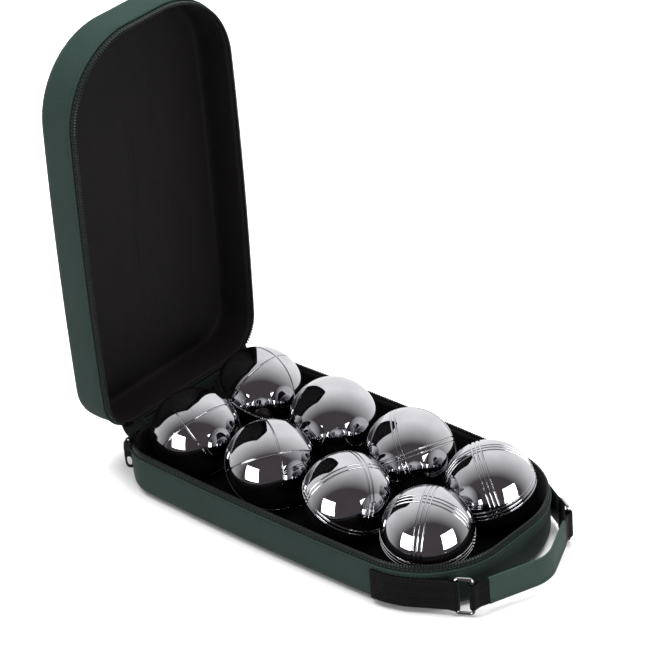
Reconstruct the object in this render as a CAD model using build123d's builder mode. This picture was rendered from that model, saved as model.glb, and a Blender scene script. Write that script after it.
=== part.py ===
from build123d import *
import os
from math import cos, degrees, radians, sin, sqrt

# Eight steel boules and a wooden jack in a soft zip case with a fabric hinge and a strap handle.
# Frame: origin at the centre of the case's underside, X from the hinge end to the handle end,
# Y across the case (near side negative), Z up. The lid is stored open, square to the base.
# Lengths in millimetres, angles in degrees.

# ---- boules and jack
BALL_DIAMETER = 73.0
BALL_WALL = 6.0            # the boules are hollow
BALL_GAP_LONG = 7.0        # between boules along a row
BALL_GAP_ACROSS = 3.0      # between the two rows
BALLS_PER_ROW = 4
JACK_DIAMETER = 30.0
JACK_SINK = 3.0            # how deep the jack sits in its dimple

# ---- case, seen from above
HINGE_END_ROOM = 7.0      # from the first boules to the outside of the hinge end
HANDLE_END_ROOM = 18.0     # from the last boules to the outside of the handle end
SIDE_ROOM = 15.5           # from the boules to the outside of a long side
SIDE_BOW = 4.0             # how far each long side bulges
HINGE_CORNER = 32.0
HANDLE_CORNER = 70.0

# ---- case walls and zip
EDGE_ROUND = 9.0           # bottom edge of the base, top edge of the lid
SHELL_WALL = 1.8           # woven cloth laminated to foam
LINER_WALL = 0.8
BOARD_THICKNESS = 1.2      # stiffener between shell and liner
BALL_HEADROOM = 2.0        # over the boules when the lid is shut
ZIP_GAP = 1.4              # between the two rows of teeth
ZIP_BAND = 6.0             # free height of tape and teeth above each shell
TEETH_HEIGHT = 1.6
TEETH_THICKNESS = 2.2
TAPE_THICKNESS = 1.0
TAPE_INSET = 0.8           # from the outside of the shell to the tape
STOP_LENGTH = 2.5
ZIP_END_ANGLE = 30.0       # where the zip stops, round each hinge corner
PIPING_SIZE = 0.9          # how far the seam piping stands out
PIPING_HEIGHT = 1.6
PIPING_ROUND = 0.5
PIPING_DROP = 0.4          # below the top edge of the shell

# ---- boule tray
TRAY_HEIGHT = 10.0
TRAY_CLEARANCE = 0.6       # to the liner
SEAT_CLEARANCE = 0.4       # round each boule and the jack

# ---- fabric hinge
HINGE_OUTBOARD = 1.3       # fold line, outside the hinge end
HINGE_ROLL = 0.9           # radius of the folded binding
BINDING_PLY = 0.8
HINGE_MARGIN = 4.0         # binding stops short of each corner
LID_OPEN = 90.0

# ---- zip slider and pull
SLIDER_ANGLE = 45.0        # parked this far round the near hinge corner
SLIDER_SPAN = 20.0         # angle that the slider covers on that corner
SLIDER_PLATE = 1.0
SLIDER_CLEARANCE = 0.8     # from the plates to the teeth
SLIDER_HALF_HEIGHT = 4.2
SLIDER_WEB = 0.6           # divider between the two rows of teeth
BAIL_OPENING = 2.0         # radius under the slider's bail
BAIL_PLY = 0.9
BAIL_WIDTH = 2.2
PULL_LENGTH = 26.0
PULL_WIDTH = 8.0
PULL_THICKNESS = 1.0
PULL_EYE_WIDTH = 4.4
PULL_EYE_HEIGHT = 3.6
PULL_CORNER = 1.8
PULL_BAR = 1.0             # top bar of the pull, under the bail
PULL_SLOT_LENGTH = 5.0
PULL_SLOT_WIDTH = 2.6

# ---- handle
HANDLE_Z = 18.0            # mid height of webbing, rings and strap
WEB_WIDTH = 26.0
WEB_PLY = 1.2              # one layer; the webbing is doubled
WEB_SEWN = 34.0            # length sewn to the wall
WEB_FREE = 33.0            # length from the wall to the ring's bar
WEB_ANGLE = 29.0           # direction in which the webbing leaves the wall
SEW_GAP = 0.15
RING_WIRE = 2.8
RING_REACH = 13.0          # from one upright bar to the other
RING_PLAY = 1.2            # between the webbing's edge and the ring
RING_CORNER = 2.5
LOOP_GAP = 0.35            # round a ring's bar
FAR_LOOP_GAP = 0.9         # round the far ring's outer bar, where the linkage is opened
STRAP_WIDTH = 24.0
STRAP_THICKNESS = 2.6
STRAP_END_LENGTH = 16.0
STRAP_REACH = 29.0         # from the handle end to the strap's bend
STRAP_BEND_Y = 4.0         # the bend sits off centre
STRAP_BEND_RADIUS = 30.0

# ---- sizes that follow
BALL_RADIUS = BALL_DIAMETER / 2
PITCH_LONG = BALL_DIAMETER + BALL_GAP_LONG
PITCH_ACROSS = BALL_DIAMETER + BALL_GAP_ACROSS
ROW_LENGTH = PITCH_LONG * (BALLS_PER_ROW - 1) + BALL_DIAMETER
CASE_LENGTH = ROW_LENGTH + HINGE_END_ROOM + HANDLE_END_ROOM
CASE_WIDTH = PITCH_ACROSS + BALL_DIAMETER + 2 * SIDE_ROOM
ROW_MIDDLE = (HINGE_END_ROOM - HANDLE_END_ROOM) / 2
BOW_RADIUS = (CASE_LENGTH**2 / 4 + SIDE_BOW**2) / (2 * SIDE_BOW)
BOW_CENTRE = BOW_RADIUS - CASE_WIDTH / 2

FLOOR_STACK = SHELL_WALL + BOARD_THICKNESS + LINER_WALL
CLOSED_HEIGHT = 2 * FLOOR_STACK + BALL_DIAMETER + BALL_HEADROOM
PARTING_Z = CLOSED_HEIGHT / 2
HALF_HEIGHT = PARTING_Z - ZIP_GAP / 2
SHELL_TOP = HALF_HEIGHT - ZIP_BAND
TEETH_LOW = HALF_HEIGHT - TEETH_HEIGHT
TAPE_MIDDLE = TAPE_INSET + TAPE_THICKNESS / 2
BALL_Z = FLOOR_STACK + BALL_RADIUS
TRAY_TOP = FLOOR_STACK + TRAY_HEIGHT
JACK_CENTRE = (ROW_MIDDLE - PITCH_LONG, 0, TRAY_TOP - JACK_SINK + JACK_DIAMETER / 2)

HINGE_X = -CASE_LENGTH / 2 - HINGE_OUTBOARD
HINGE_AXIS = Axis((HINGE_X, 0, PARTING_Z), (0, 1, 0))


def side_reach(x, grow=0.0):
    """Half width of the case at x, its outline grown outwards by a distance."""
    return sqrt((BOW_RADIUS + grow) ** 2 - x**2) - BOW_CENTRE


def corner_centre(radius, end):
    """Centre of a near corner's arc, at the hinge end (-1) or the handle end (+1)."""
    x = end * (CASE_LENGTH / 2 - radius)
    return x, -(sqrt((BOW_RADIUS - radius) ** 2 - x**2) - BOW_CENTRE)


def outline(grow=0.0):
    """Plan shape of the case: bowed sides, small corners at the hinge, large at the handle."""
    end = CASE_LENGTH / 2 + grow
    reach = side_reach(end, grow)
    middle = CASE_WIDTH / 2 + grow
    with BuildSketch() as plan:
        with BuildLine():
            Line((-end, reach), (-end, -reach))
            ThreePointArc((-end, -reach), (0, -middle), (end, -reach))
            Line((end, -reach), (end, reach))
            ThreePointArc((end, reach), (0, middle), (-end, reach))
        make_face()
        fillet(plan.vertices().group_by(Axis.X)[0], HINGE_CORNER + grow)
        fillet(plan.vertices().group_by(Axis.X)[-1], HANDLE_CORNER + grow)
    return plan.sketch


def block(grow, low, high, edge_round=0.0):
    """The outline between two heights, with its lower edge rounded."""
    with BuildPart() as body:
        with BuildSketch(Plane.XY.offset(low)):
            add(outline(grow))
        extrude(amount=high - low)
        if edge_round:
            fillet(body.faces().sort_by(Axis.Z)[0].edges(), edge_round)
    return body.part


def band(outer, inner, low, high):
    """A closed ring that follows the outline, between two offsets and two heights."""
    with BuildPart() as ring:
        with BuildSketch(Plane.XY.offset(low)):
            add(outline(outer))
            add(outline(inner), mode=Mode.SUBTRACT)
        extrude(amount=high - low)
    return ring.part


def swung_open(piece):
    """A lid piece from its twin in the base: mirrored over the parting plane, then opened."""
    closed = mirror(piece, about=Plane.XY.offset(PARTING_Z), mode=Mode.PRIVATE)
    return closed.rotate(HINGE_AXIS, -LID_OPEN)


def save(part, name):
    """Label one sub-part and write it as its own file."""
    part.label = name
    export_step(part, f"parts/{name}.step")


os.makedirs("parts", exist_ok=True)

# ---- base: shell, stiffener board, liner and seam piping
base_outer = block(0, 0, SHELL_TOP, EDGE_ROUND)
base_hollow = block(-SHELL_WALL, SHELL_WALL, SHELL_TOP + 1, EDGE_ROUND - SHELL_WALL)
with BuildPart() as base_shell:
    add(base_outer)
    add(base_hollow, mode=Mode.SUBTRACT)
save(base_shell.part, "base_shell")

with BuildPart() as base_board:
    add(block(-EDGE_ROUND - 1, SHELL_WALL, SHELL_WALL + BOARD_THICKNESS))
save(base_board.part, "base_board")

LINER_LOW = SHELL_WALL + BOARD_THICKNESS
LINER_INSET = SHELL_WALL + LINER_WALL
liner_outer = block(-SHELL_WALL, LINER_LOW, SHELL_TOP, EDGE_ROUND - SHELL_WALL)
liner_hollow = block(-LINER_INSET, FLOOR_STACK, SHELL_TOP + 1, EDGE_ROUND - LINER_INSET)
with BuildPart() as base_liner:
    add(liner_outer)
    add(liner_hollow, mode=Mode.SUBTRACT)
save(base_liner.part, "base_liner")

PIPING_TOP = SHELL_TOP - PIPING_DROP
with BuildPart() as base_piping:
    add(band(PIPING_SIZE, 0, PIPING_TOP - PIPING_HEIGHT, PIPING_TOP))
    fillet(base_piping.faces().sort_by(Axis.Z)[-1].outer_wire().edges(), PIPING_ROUND)
    fillet(base_piping.faces().sort_by(Axis.Z)[0].outer_wire().edges(), PIPING_ROUND)
save(base_piping.part, "base_piping")

# ---- zip of the base: tape all round, teeth and end stops from corner to corner
with BuildPart() as zip_tape_base:
    add(band(-TAPE_INSET, -TAPE_INSET - TAPE_THICKNESS, SHELL_TOP, TEETH_LOW))
save(zip_tape_base.part, "zip_tape_base")

TEETH_OUTER = -TAPE_MIDDLE + TEETH_THICKNESS / 2
TEETH_INNER = -TAPE_MIDDLE - TEETH_THICKNESS / 2
SLIDER_CENTRE = corner_centre(HINGE_CORNER, -1)
TAPE_RADIUS = HINGE_CORNER - TAPE_MIDDLE
ZIP_END_X = SLIDER_CENTRE[0] - TAPE_RADIUS * cos(radians(ZIP_END_ANGLE))
teeth_ring = band(TEETH_OUTER, TEETH_INNER, TEETH_LOW, HALF_HEIGHT)
with BuildPart() as zip_teeth_base:
    add(teeth_ring)
    split(bisect_by=Plane.YZ.offset(ZIP_END_X), keep=Keep.TOP)
save(zip_teeth_base.part, "zip_teeth_base")

with BuildPart() as zip_stops_base:
    add(teeth_ring)
    split(bisect_by=Plane.YZ.offset(ZIP_END_X), keep=Keep.BOTTOM)
    split(bisect_by=Plane.YZ.offset(ZIP_END_X - STOP_LENGTH), keep=Keep.TOP)
save(zip_stops_base.part, "zip_stops_base")

# ---- tray: a foam plate with a seat for each boule and a dimple for the jack
ball_places = [
    (ROW_MIDDLE + (i - (BALLS_PER_ROW - 1) / 2) * PITCH_LONG, side * PITCH_ACROSS / 2, BALL_Z)
    for side in (-1, 1)
    for i in range(BALLS_PER_ROW)
]
tray_grow = -LINER_INSET - TRAY_CLEARANCE
with BuildPart() as ball_tray:
    add(block(tray_grow, FLOOR_STACK, TRAY_TOP, EDGE_ROUND - LINER_INSET))
    with Locations(*ball_places):
        Sphere(BALL_RADIUS + SEAT_CLEARANCE, mode=Mode.SUBTRACT)
    with Locations(JACK_CENTRE):
        Sphere(JACK_DIAMETER / 2 + SEAT_CLEARANCE, mode=Mode.SUBTRACT)
save(ball_tray.part, "ball_tray")

# ---- fabric hinge: a binding sewn to the hinge end and rolled on the fold line
binding_length = 2 * (side_reach(CASE_LENGTH / 2) - HINGE_CORNER - HINGE_MARGIN)
wall_face = -CASE_LENGTH / 2
roll_low = PARTING_Z - HINGE_ROLL
with BuildPart() as hinge_binding:
    with BuildSketch(Plane.XZ.offset(-binding_length / 2)):
        with Locations((HINGE_X, PARTING_Z)):
            Circle(HINGE_ROLL)
        with Locations((HINGE_X, roll_low)):
            Rectangle(HINGE_OUTBOARD + BINDING_PLY, BINDING_PLY, align=(Align.MIN, Align.MIN))
        with Locations((wall_face, SHELL_TOP)):
            Rectangle(BINDING_PLY, roll_low + BINDING_PLY - SHELL_TOP, align=(Align.MIN, Align.MIN))
    extrude(amount=binding_length)
save(hinge_binding.part, "hinge_binding")

# ---- lid: each piece is the base's twin, swung open on the fold line
lid_twins = {
    "lid_shell": base_shell,
    "lid_board": base_board,
    "lid_liner": base_liner,
    "lid_piping": base_piping,
    "zip_tape_lid": zip_tape_base,
    "zip_teeth_lid": zip_teeth_base,
    "zip_stops_lid": zip_stops_base,
}
for twin_name, twin in lid_twins.items():
    with BuildPart() as lid_piece:
        add(swung_open(twin.part))
    save(lid_piece.part, twin_name)

# ---- zip slider: two plates and a divider, turned round the corner it runs on
start = 180 + SLIDER_ANGLE - SLIDER_SPAN / 2
start_x = cos(radians(start))
start_y = sin(radians(start))
corner_axis = Axis((*SLIDER_CENTRE, 0), (0, 0, 1))
plate_reach = TEETH_THICKNESS / 2 + SLIDER_CLEARANCE
with BuildPart() as slider_plates:
    with BuildSketch(Plane((*SLIDER_CENTRE, 0), (start_x, start_y, 0), (start_y, -start_x, 0))):
        with Locations(
            (TAPE_RADIUS + plate_reach + SLIDER_PLATE / 2, PARTING_Z),
            (TAPE_RADIUS - plate_reach - SLIDER_PLATE / 2, PARTING_Z),
        ):
            RectangleRounded(SLIDER_PLATE, 2 * SLIDER_HALF_HEIGHT, SLIDER_PLATE * 0.4)
        with Locations((TAPE_RADIUS, PARTING_Z)):
            Rectangle(2 * plate_reach + SLIDER_PLATE, SLIDER_WEB)
    revolve(axis=corner_axis, revolution_arc=SLIDER_SPAN)

middle = radians(180 + SLIDER_ANGLE)
outward = (cos(middle), sin(middle), 0)
tangent = (-sin(middle), cos(middle), 0)
plate_face = TAPE_RADIUS + plate_reach + SLIDER_PLATE


def from_corner(distance, z):
    """A point straight out from the slider corner's centre, through the slider's middle."""
    return (
        SLIDER_CENTRE[0] + distance * outward[0],
        SLIDER_CENTRE[1] + distance * outward[1],
        z,
    )


bail_plane = Plane(from_corner(plate_face, PARTING_Z), outward, tangent)
with BuildPart() as zip_slider:
    add(slider_plates.part)
    with BuildSketch(bail_plane):
        Circle(BAIL_OPENING + BAIL_PLY)
        with Locations((-SLIDER_PLATE / 2, 0)):
            Rectangle(SLIDER_PLATE, 4 * BAIL_OPENING)
        with Locations((-SLIDER_PLATE, 0)):
            Rectangle(4 * BAIL_OPENING, 4 * BAIL_OPENING, align=(Align.MAX, Align.CENTER), mode=Mode.SUBTRACT)
        Circle(BAIL_OPENING, mode=Mode.SUBTRACT)
    extrude(amount=BAIL_WIDTH / 2, both=True)
save(zip_slider.part, "zip_slider")

# ---- zip pull: a flat tab that hangs from the bail by its eye
pull_distance = plate_face + BAIL_OPENING / 2
pull_plane = Plane(from_corner(pull_distance, PARTING_Z), tangent, outward)
with BuildPart() as zip_pull:
    with BuildSketch(pull_plane):
        with Locations((0, (PULL_BAR - PULL_LENGTH) / 2)):
            RectangleRounded(PULL_WIDTH, PULL_LENGTH, PULL_CORNER)
        with Locations((0, -PULL_BAR / 2)):
            Rectangle(PULL_EYE_WIDTH, PULL_EYE_HEIGHT, align=(Align.CENTER, Align.MAX), mode=Mode.SUBTRACT)
        with Locations((0, PULL_BAR / 2 - PULL_LENGTH + PULL_SLOT_LENGTH)):
            SlotOverall(PULL_SLOT_LENGTH, PULL_SLOT_WIDTH, rotation=90, mode=Mode.SUBTRACT)
    extrude(amount=PULL_THICKNESS / 2, both=True)
save(zip_pull.part, "zip_pull")

# ---- handle: webbing on each wall, a wire ring in its loop, and a strap between the rings
HANDLE_CENTRE = corner_centre(HANDLE_CORNER, 1)
web_radius = HANDLE_CORNER + SEW_GAP + WEB_PLY
leave_angle = WEB_ANGLE - 90
sewn_angle = degrees(WEB_SEWN / web_radius)
web_heading = (cos(radians(WEB_ANGLE)), sin(radians(WEB_ANGLE)))
leave = (
    HANDLE_CENTRE[0] + web_radius * cos(radians(leave_angle)),
    HANDLE_CENTRE[1] + web_radius * sin(radians(leave_angle)),
)


def along(point, heading, distance):
    """The point a distance from another, in a heading on the plan."""
    return point[0] + distance * heading[0], point[1] + distance * heading[1]


def across(point):
    """The same point on the far side of the case."""
    return point[0], -point[1]


inner_bar = along(leave, web_heading, WEB_FREE)
outer_bar = along(inner_bar, web_heading, RING_REACH)
loop_hole = RING_WIRE / 2 + LOOP_GAP
loop_outer = loop_hole + WEB_PLY
far_loop_hole = RING_WIRE / 2 + FAR_LOOP_GAP

with BuildPart() as webbing_near:
    with BuildSketch(Plane.XY.offset(HANDLE_Z - WEB_WIDTH / 2)):
        with BuildLine():
            CenterArc(HANDLE_CENTRE, web_radius, leave_angle - sewn_angle, sewn_angle)
            Line(leave, along(leave, web_heading, WEB_FREE - loop_hole - WEB_PLY / 2))
        trace(line_width=2 * WEB_PLY)
        with Locations(inner_bar):
            Circle(loop_outer)
            Circle(loop_hole, mode=Mode.SUBTRACT)
    extrude(amount=WEB_WIDTH)
save(webbing_near.part, "webbing_near")

with BuildPart() as webbing_far:
    add(mirror(webbing_near.part, about=Plane.XZ, mode=Mode.PRIVATE))
save(webbing_far.part, "webbing_far")

# ---- rings: one wire bent to a rounded rectangle, standing on edge
ring_height = WEB_WIDTH + 2 * RING_PLAY + RING_WIRE
ring_middle = along(inner_bar, web_heading, RING_REACH / 2)
ring_plane = Plane((*ring_middle, HANDLE_Z), (*web_heading, 0), (web_heading[1], -web_heading[0], 0))
flat = RING_REACH / 2 - RING_CORNER
upright = ring_height / 2 - RING_CORNER
with BuildPart() as ring_near:
    with BuildLine(ring_plane) as ring_path:
        for x, y, quarter in ((flat, upright, 0), (-flat, upright, 90), (-flat, -upright, 180), (flat, -upright, 270)):
            CenterArc((x, y), RING_CORNER, quarter, 90)
        for y in (-ring_height / 2, ring_height / 2):
            Line((-flat, y), (flat, y))
        for x in (-RING_REACH / 2, RING_REACH / 2):
            Line((x, -upright), (x, upright))
    with BuildSketch(Plane(ring_plane.from_local_coords((0, ring_height / 2)), z_dir=ring_plane.x_dir)):
        Circle(RING_WIRE / 2)
    sweep(path=ring_path.wires()[0])
save(ring_near.part, "ring_near")

with BuildPart() as ring_far:
    add(mirror(ring_near.part, about=Plane.XZ, mode=Mode.PRIVATE))
save(ring_far.part, "ring_far")

# ---- strap: a loop at each ring, and the carrying strap sewn between the two loops
strap_bend = (CASE_LENGTH / 2 + STRAP_REACH, STRAP_BEND_Y)
strap_low = HANDLE_Z - STRAP_WIDTH / 2


def heading_to(point, target):
    """Unit heading on the plan from one point to another."""
    dx, dy = target[0] - point[0], target[1] - point[1]
    length = sqrt(dx**2 + dy**2)
    return dx / length, dy / length


def strap_end(bar, hole):
    """The webbing loop round one ring's outer bar, with the tab that the strap is sewn to."""
    heading = heading_to(bar, strap_bend)
    with BuildPart() as end:
        with BuildSketch(Plane.XY.offset(strap_low)):
            with BuildLine():
                Line(along(bar, heading, hole + WEB_PLY / 2), along(bar, heading, STRAP_END_LENGTH))
            trace(line_width=2 * WEB_PLY)
            with Locations(bar):
                Circle(hole + WEB_PLY)
                Circle(hole, mode=Mode.SUBTRACT)
        extrude(amount=STRAP_WIDTH)
    return end.part


far_bar = across(outer_bar)
save(strap_end(outer_bar, loop_hole), "strap_end_near")
save(strap_end(far_bar, far_loop_hole), "strap_end_far")

with BuildPart() as handle_strap:
    with BuildSketch(Plane.XY.offset(strap_low)):
        with BuildLine():
            FilletPolyline(
                along(outer_bar, heading_to(outer_bar, strap_bend), STRAP_END_LENGTH),
                strap_bend,
                along(far_bar, heading_to(far_bar, strap_bend), STRAP_END_LENGTH),
                radius=STRAP_BEND_RADIUS,
            )
        trace(line_width=STRAP_THICKNESS)
    extrude(amount=STRAP_WIDTH)
save(handle_strap.part, "handle_strap")

# ---- boules: hollow steel balls, smooth here; their turned grooves are shallow surface detail
for i, place in enumerate(ball_places):
    row = "near" if i < BALLS_PER_ROW else "far"
    with BuildPart() as boule:
        with Locations(place):
            Sphere(BALL_RADIUS)
            Sphere(BALL_RADIUS - BALL_WALL, mode=Mode.SUBTRACT)
    save(boule.part, f"boule_{row}_{i % BALLS_PER_ROW + 1}")

with BuildPart() as jack:
    with Locations(JACK_CENTRE):
        Sphere(JACK_DIAMETER / 2)
save(jack.part, "jack")
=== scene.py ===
"""A set of grooved steel boules in a soft zip case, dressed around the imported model.

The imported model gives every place. The case's cloth, zip, pull and straps and the boules'
turned grooves are modelled here. Wire rings, slider, zip stops, boards, tray and jack keep
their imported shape. All lengths are in metres unless a name ends in _mm.
"""

import logging
from dataclasses import dataclass, field
from enum import Enum
from math import atan2, cos, pi, radians, sin, sqrt, tau
from typing import Callable, Sequence

import bpy
from mathutils import Matrix, Vector, noise


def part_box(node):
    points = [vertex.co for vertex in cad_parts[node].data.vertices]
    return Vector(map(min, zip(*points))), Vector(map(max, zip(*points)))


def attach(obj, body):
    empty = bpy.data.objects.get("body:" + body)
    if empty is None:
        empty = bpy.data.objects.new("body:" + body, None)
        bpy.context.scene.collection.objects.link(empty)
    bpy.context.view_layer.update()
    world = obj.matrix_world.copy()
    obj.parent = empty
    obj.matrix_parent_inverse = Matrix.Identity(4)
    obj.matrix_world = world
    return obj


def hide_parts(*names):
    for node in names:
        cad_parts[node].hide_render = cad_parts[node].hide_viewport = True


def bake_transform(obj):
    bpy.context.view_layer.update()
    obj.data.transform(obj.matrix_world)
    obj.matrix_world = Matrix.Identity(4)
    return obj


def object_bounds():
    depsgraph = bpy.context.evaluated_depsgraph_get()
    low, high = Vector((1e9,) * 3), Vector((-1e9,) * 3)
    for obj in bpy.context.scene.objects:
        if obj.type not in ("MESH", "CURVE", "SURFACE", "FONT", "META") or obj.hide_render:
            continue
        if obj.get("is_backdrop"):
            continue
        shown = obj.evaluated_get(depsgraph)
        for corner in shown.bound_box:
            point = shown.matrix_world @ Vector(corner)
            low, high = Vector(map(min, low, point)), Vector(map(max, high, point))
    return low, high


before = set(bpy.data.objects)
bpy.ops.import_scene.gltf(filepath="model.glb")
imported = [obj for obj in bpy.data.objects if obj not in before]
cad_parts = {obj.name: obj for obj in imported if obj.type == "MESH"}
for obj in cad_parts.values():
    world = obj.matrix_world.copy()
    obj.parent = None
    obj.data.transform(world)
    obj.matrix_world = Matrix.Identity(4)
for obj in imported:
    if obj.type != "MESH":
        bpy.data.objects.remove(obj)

MM = 0.001
PULL_FACES = radians(292)
LOG = logging.getLogger("boules")
Ring = list[Vector]
Place = Callable[[Vector], Vector]


class Map(Enum):
    """Which coordinates a pattern follows."""

    UV = "UV"
    OBJECT = "Object"


# ---------------------------------------------------------------- materials


def linear(code: str) -> tuple[float, float, float, float]:
    """Turn an sRGB hex colour into linear RGBA.

    Args:
        code: six hex digits, with or without a leading mark.

    Returns:
        Red, green, blue and an alpha of one.
    """
    code = code.lstrip("#")
    parts = [int(code[i : i + 2], 16) / 255 for i in (0, 2, 4)]
    red, green, blue = [c / 12.92 if c <= 0.04045 else ((c + 0.055) / 1.055) ** 2.4 for c in parts]
    return red, green, blue, 1.0


def add_node(tree: bpy.types.NodeTree, kind: str, links: dict | None = None, **settings) -> bpy.types.Node:
    """Add a node, set its properties and sockets, and link its inputs.

    Args:
        tree: the tree that takes the node.
        kind: the node's type name.
        links: input name or number to the output socket that feeds it.
        settings: node properties by name, or socket values as in_NAME_OF_SOCKET.

    Returns:
        The new node.
    """
    node = tree.nodes.new(kind)
    for name, value in settings.items():
        if name.startswith("in_"):
            key = name[3:].replace("_", " ")
            node.inputs[int(key) if key.isdigit() else key].default_value = value
        else:
            setattr(node, name, value)
    for name, socket in (links or {}).items():
        tree.links.new(socket, node.inputs[name])
    return node


def new_material(name: str) -> tuple[bpy.types.Material, bpy.types.NodeTree, bpy.types.Node]:
    """Start a node material.

    Args:
        name: the material's name.

    Returns:
        The material, its tree and its shader node.
    """
    material = bpy.data.materials.new(name)
    material.use_nodes = True
    tree = material.node_tree
    return material, tree, tree.nodes["Principled BSDF"]


def two_tone(
    tree: bpy.types.NodeTree, factor: bpy.types.NodeSocket, dark: str, light: str
) -> bpy.types.Node:
    """Mix two colours by a pattern.

    Args:
        tree: the tree that takes the node.
        factor: the pattern, 0 for dark and 1 for light.
        dark: hex colour of the low parts.
        light: hex colour of the high parts.

    Returns:
        A colour ramp node.
    """
    ramp = add_node(tree, "ShaderNodeValToRGB", {"Fac": factor})
    ramp.color_ramp.elements[0].color = linear(dark)
    ramp.color_ramp.elements[1].color = linear(light)
    return ramp


def grain_at(
    tree: bpy.types.NodeTree, place: bpy.types.NodeSocket, grain_mm: float, detail: float
) -> bpy.types.NodeSocket:
    """Noise of a real size.

    Args:
        tree: the tree that takes the node.
        place: the coordinates it follows.
        grain_mm: size of its largest spots, in millimetres.
        detail: how many finer layers it has.

    Returns:
        The noise's value.
    """
    links = {"Vector": place}
    node = add_node(tree, "ShaderNodeTexNoise", links, in_Scale=1 / (grain_mm * MM), in_Detail=detail)
    return node.outputs["Fac"]


def raise_surface(
    tree: bpy.types.NodeTree,
    shader: bpy.types.Node,
    height: bpy.types.NodeSocket,
    strength: float,
    relief_mm: float,
) -> None:
    """Let a pattern stand out of the surface.

    Args:
        tree: the material's tree.
        shader: its shader node.
        height: the pattern.
        strength: how much of the relief shows.
        relief_mm: the relief's height, in millimetres.
    """
    links = {"Height": height}
    bump = add_node(tree, "ShaderNodeBump", links, in_Strength=strength, in_Distance=relief_mm * MM)
    tree.links.new(bump.outputs["Normal"], shader.inputs["Normal"])


@dataclass(frozen=True)
class WovenCloth:
    """Cloth woven from crossing yarns. Its colour is painted lighter on the yarns' crowns and darker
    between them, a painted highlight and shade, over random blotches of tone.

    The real yarns are about 0.4 mm apart, too fine to show, so they are drawn coarser.
    """

    name: str
    dark: str
    light: str
    yarn_mm: float = 1.3
    weft_mm: float = 1.3
    relief_mm: float = 0.25
    roughness: float = 0.82
    sheen: float = 0.05
    gloss: float = 0.25
    follow: Map = Map.UV
    blotch_mm: float = 60.0

    def build(self) -> bpy.types.Material:
        """Make the material."""
        material, tree, shader = new_material(self.name)
        coordinates = add_node(tree, "ShaderNodeTexCoord").outputs[self.follow.value]
        waves = []
        for axis, pitch in (("X", self.yarn_mm), ("Y", self.weft_mm)):
            waves.append(
                add_node(
                    tree,
                    "ShaderNodeTexWave",
                    {"Vector": coordinates},
                    wave_type="BANDS",
                    bands_direction=axis,
                    in_Scale=tau / (20 * pitch * MM),
                    in_Distortion=0.6,
                    in_Detail=1.0,
                )
            )
        yarns = {0: waves[0].outputs["Fac"], 1: waves[1].outputs["Fac"]}
        weave = add_node(tree, "ShaderNodeMath", yarns, operation="MULTIPLY")
        blotch = grain_at(tree, coordinates, self.blotch_mm, 3.0)
        # Colour: random blotches of tone times the weave, so the yarns' crowns are painted lighter and the
        # gaps darker, a painted highlight and shade.
        tone_and_crown_light = add_node(
            tree,
            "ShaderNodeMath",
            {0: blotch, 1: weave.outputs[0]},
            operation="MULTIPLY_ADD",
        )
        tone_and_crown_light.inputs[2].default_value = 0.25
        ramp = two_tone(tree, tone_and_crown_light.outputs[0], self.dark, self.light)
        raise_surface(tree, shader, weave.outputs[0], 0.7, self.relief_mm)
        tree.links.new(ramp.outputs["Color"], shader.inputs["Base Color"])
        shader.inputs["Roughness"].default_value = self.roughness
        shader.inputs["Sheen Weight"].default_value = self.sheen
        shader.inputs["Sheen Roughness"].default_value = 0.45
        shader.inputs["Specular IOR Level"].default_value = self.gloss
        return material


@dataclass(frozen=True)
class PlatedMetal:
    """Steel with a bright plating, polished to a mirror and lightly marked by handling."""

    name: str
    dark: str
    light: str
    roughness: float
    spread: float
    smear_mm: float = 18.0
    hairline_mm: float = 1.2

    def build(self) -> bpy.types.Material:
        """Make the material."""
        material, tree, shader = new_material(self.name)
        place = add_node(tree, "ShaderNodeTexCoord").outputs[Map.OBJECT.value]
        smear = grain_at(tree, place, self.smear_mm, 4.0)
        hairline = grain_at(tree, place, self.hairline_mm, 2.0)
        rough = add_node(
            tree,
            "ShaderNodeMapRange",
            {"Value": smear},
            **{"in_From_Min": 0.3, "in_From_Max": 0.8},
        )
        rough.inputs["To Min"].default_value = self.roughness
        rough.inputs["To Max"].default_value = self.roughness + self.spread
        ramp = two_tone(tree, smear, self.dark, self.light)
        raise_surface(tree, shader, hairline, 0.05, 0.005)
        tree.links.new(rough.outputs["Result"], shader.inputs["Roughness"])
        tree.links.new(ramp.outputs["Color"], shader.inputs["Base Color"])
        shader.inputs["Metallic"].default_value = 1.0
        return material


@dataclass(frozen=True)
class MattSheet:
    """Foam, board or moulded nylon: an even colour with a fine grain."""

    name: str
    dark: str
    light: str
    grain_mm: float
    roughness: float
    relief_mm: float = 0.1
    gloss: float = 0.5

    def build(self) -> bpy.types.Material:
        """Make the material."""
        material, tree, shader = new_material(self.name)
        place = add_node(tree, "ShaderNodeTexCoord").outputs[Map.OBJECT.value]
        grain = grain_at(tree, place, self.grain_mm, 5.0)
        ramp = two_tone(tree, grain, self.dark, self.light)
        raise_surface(tree, shader, grain, 0.5, self.relief_mm)
        tree.links.new(ramp.outputs["Color"], shader.inputs["Base Color"])
        shader.inputs["Roughness"].default_value = self.roughness
        shader.inputs["Specular IOR Level"].default_value = self.gloss
        return material


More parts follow.
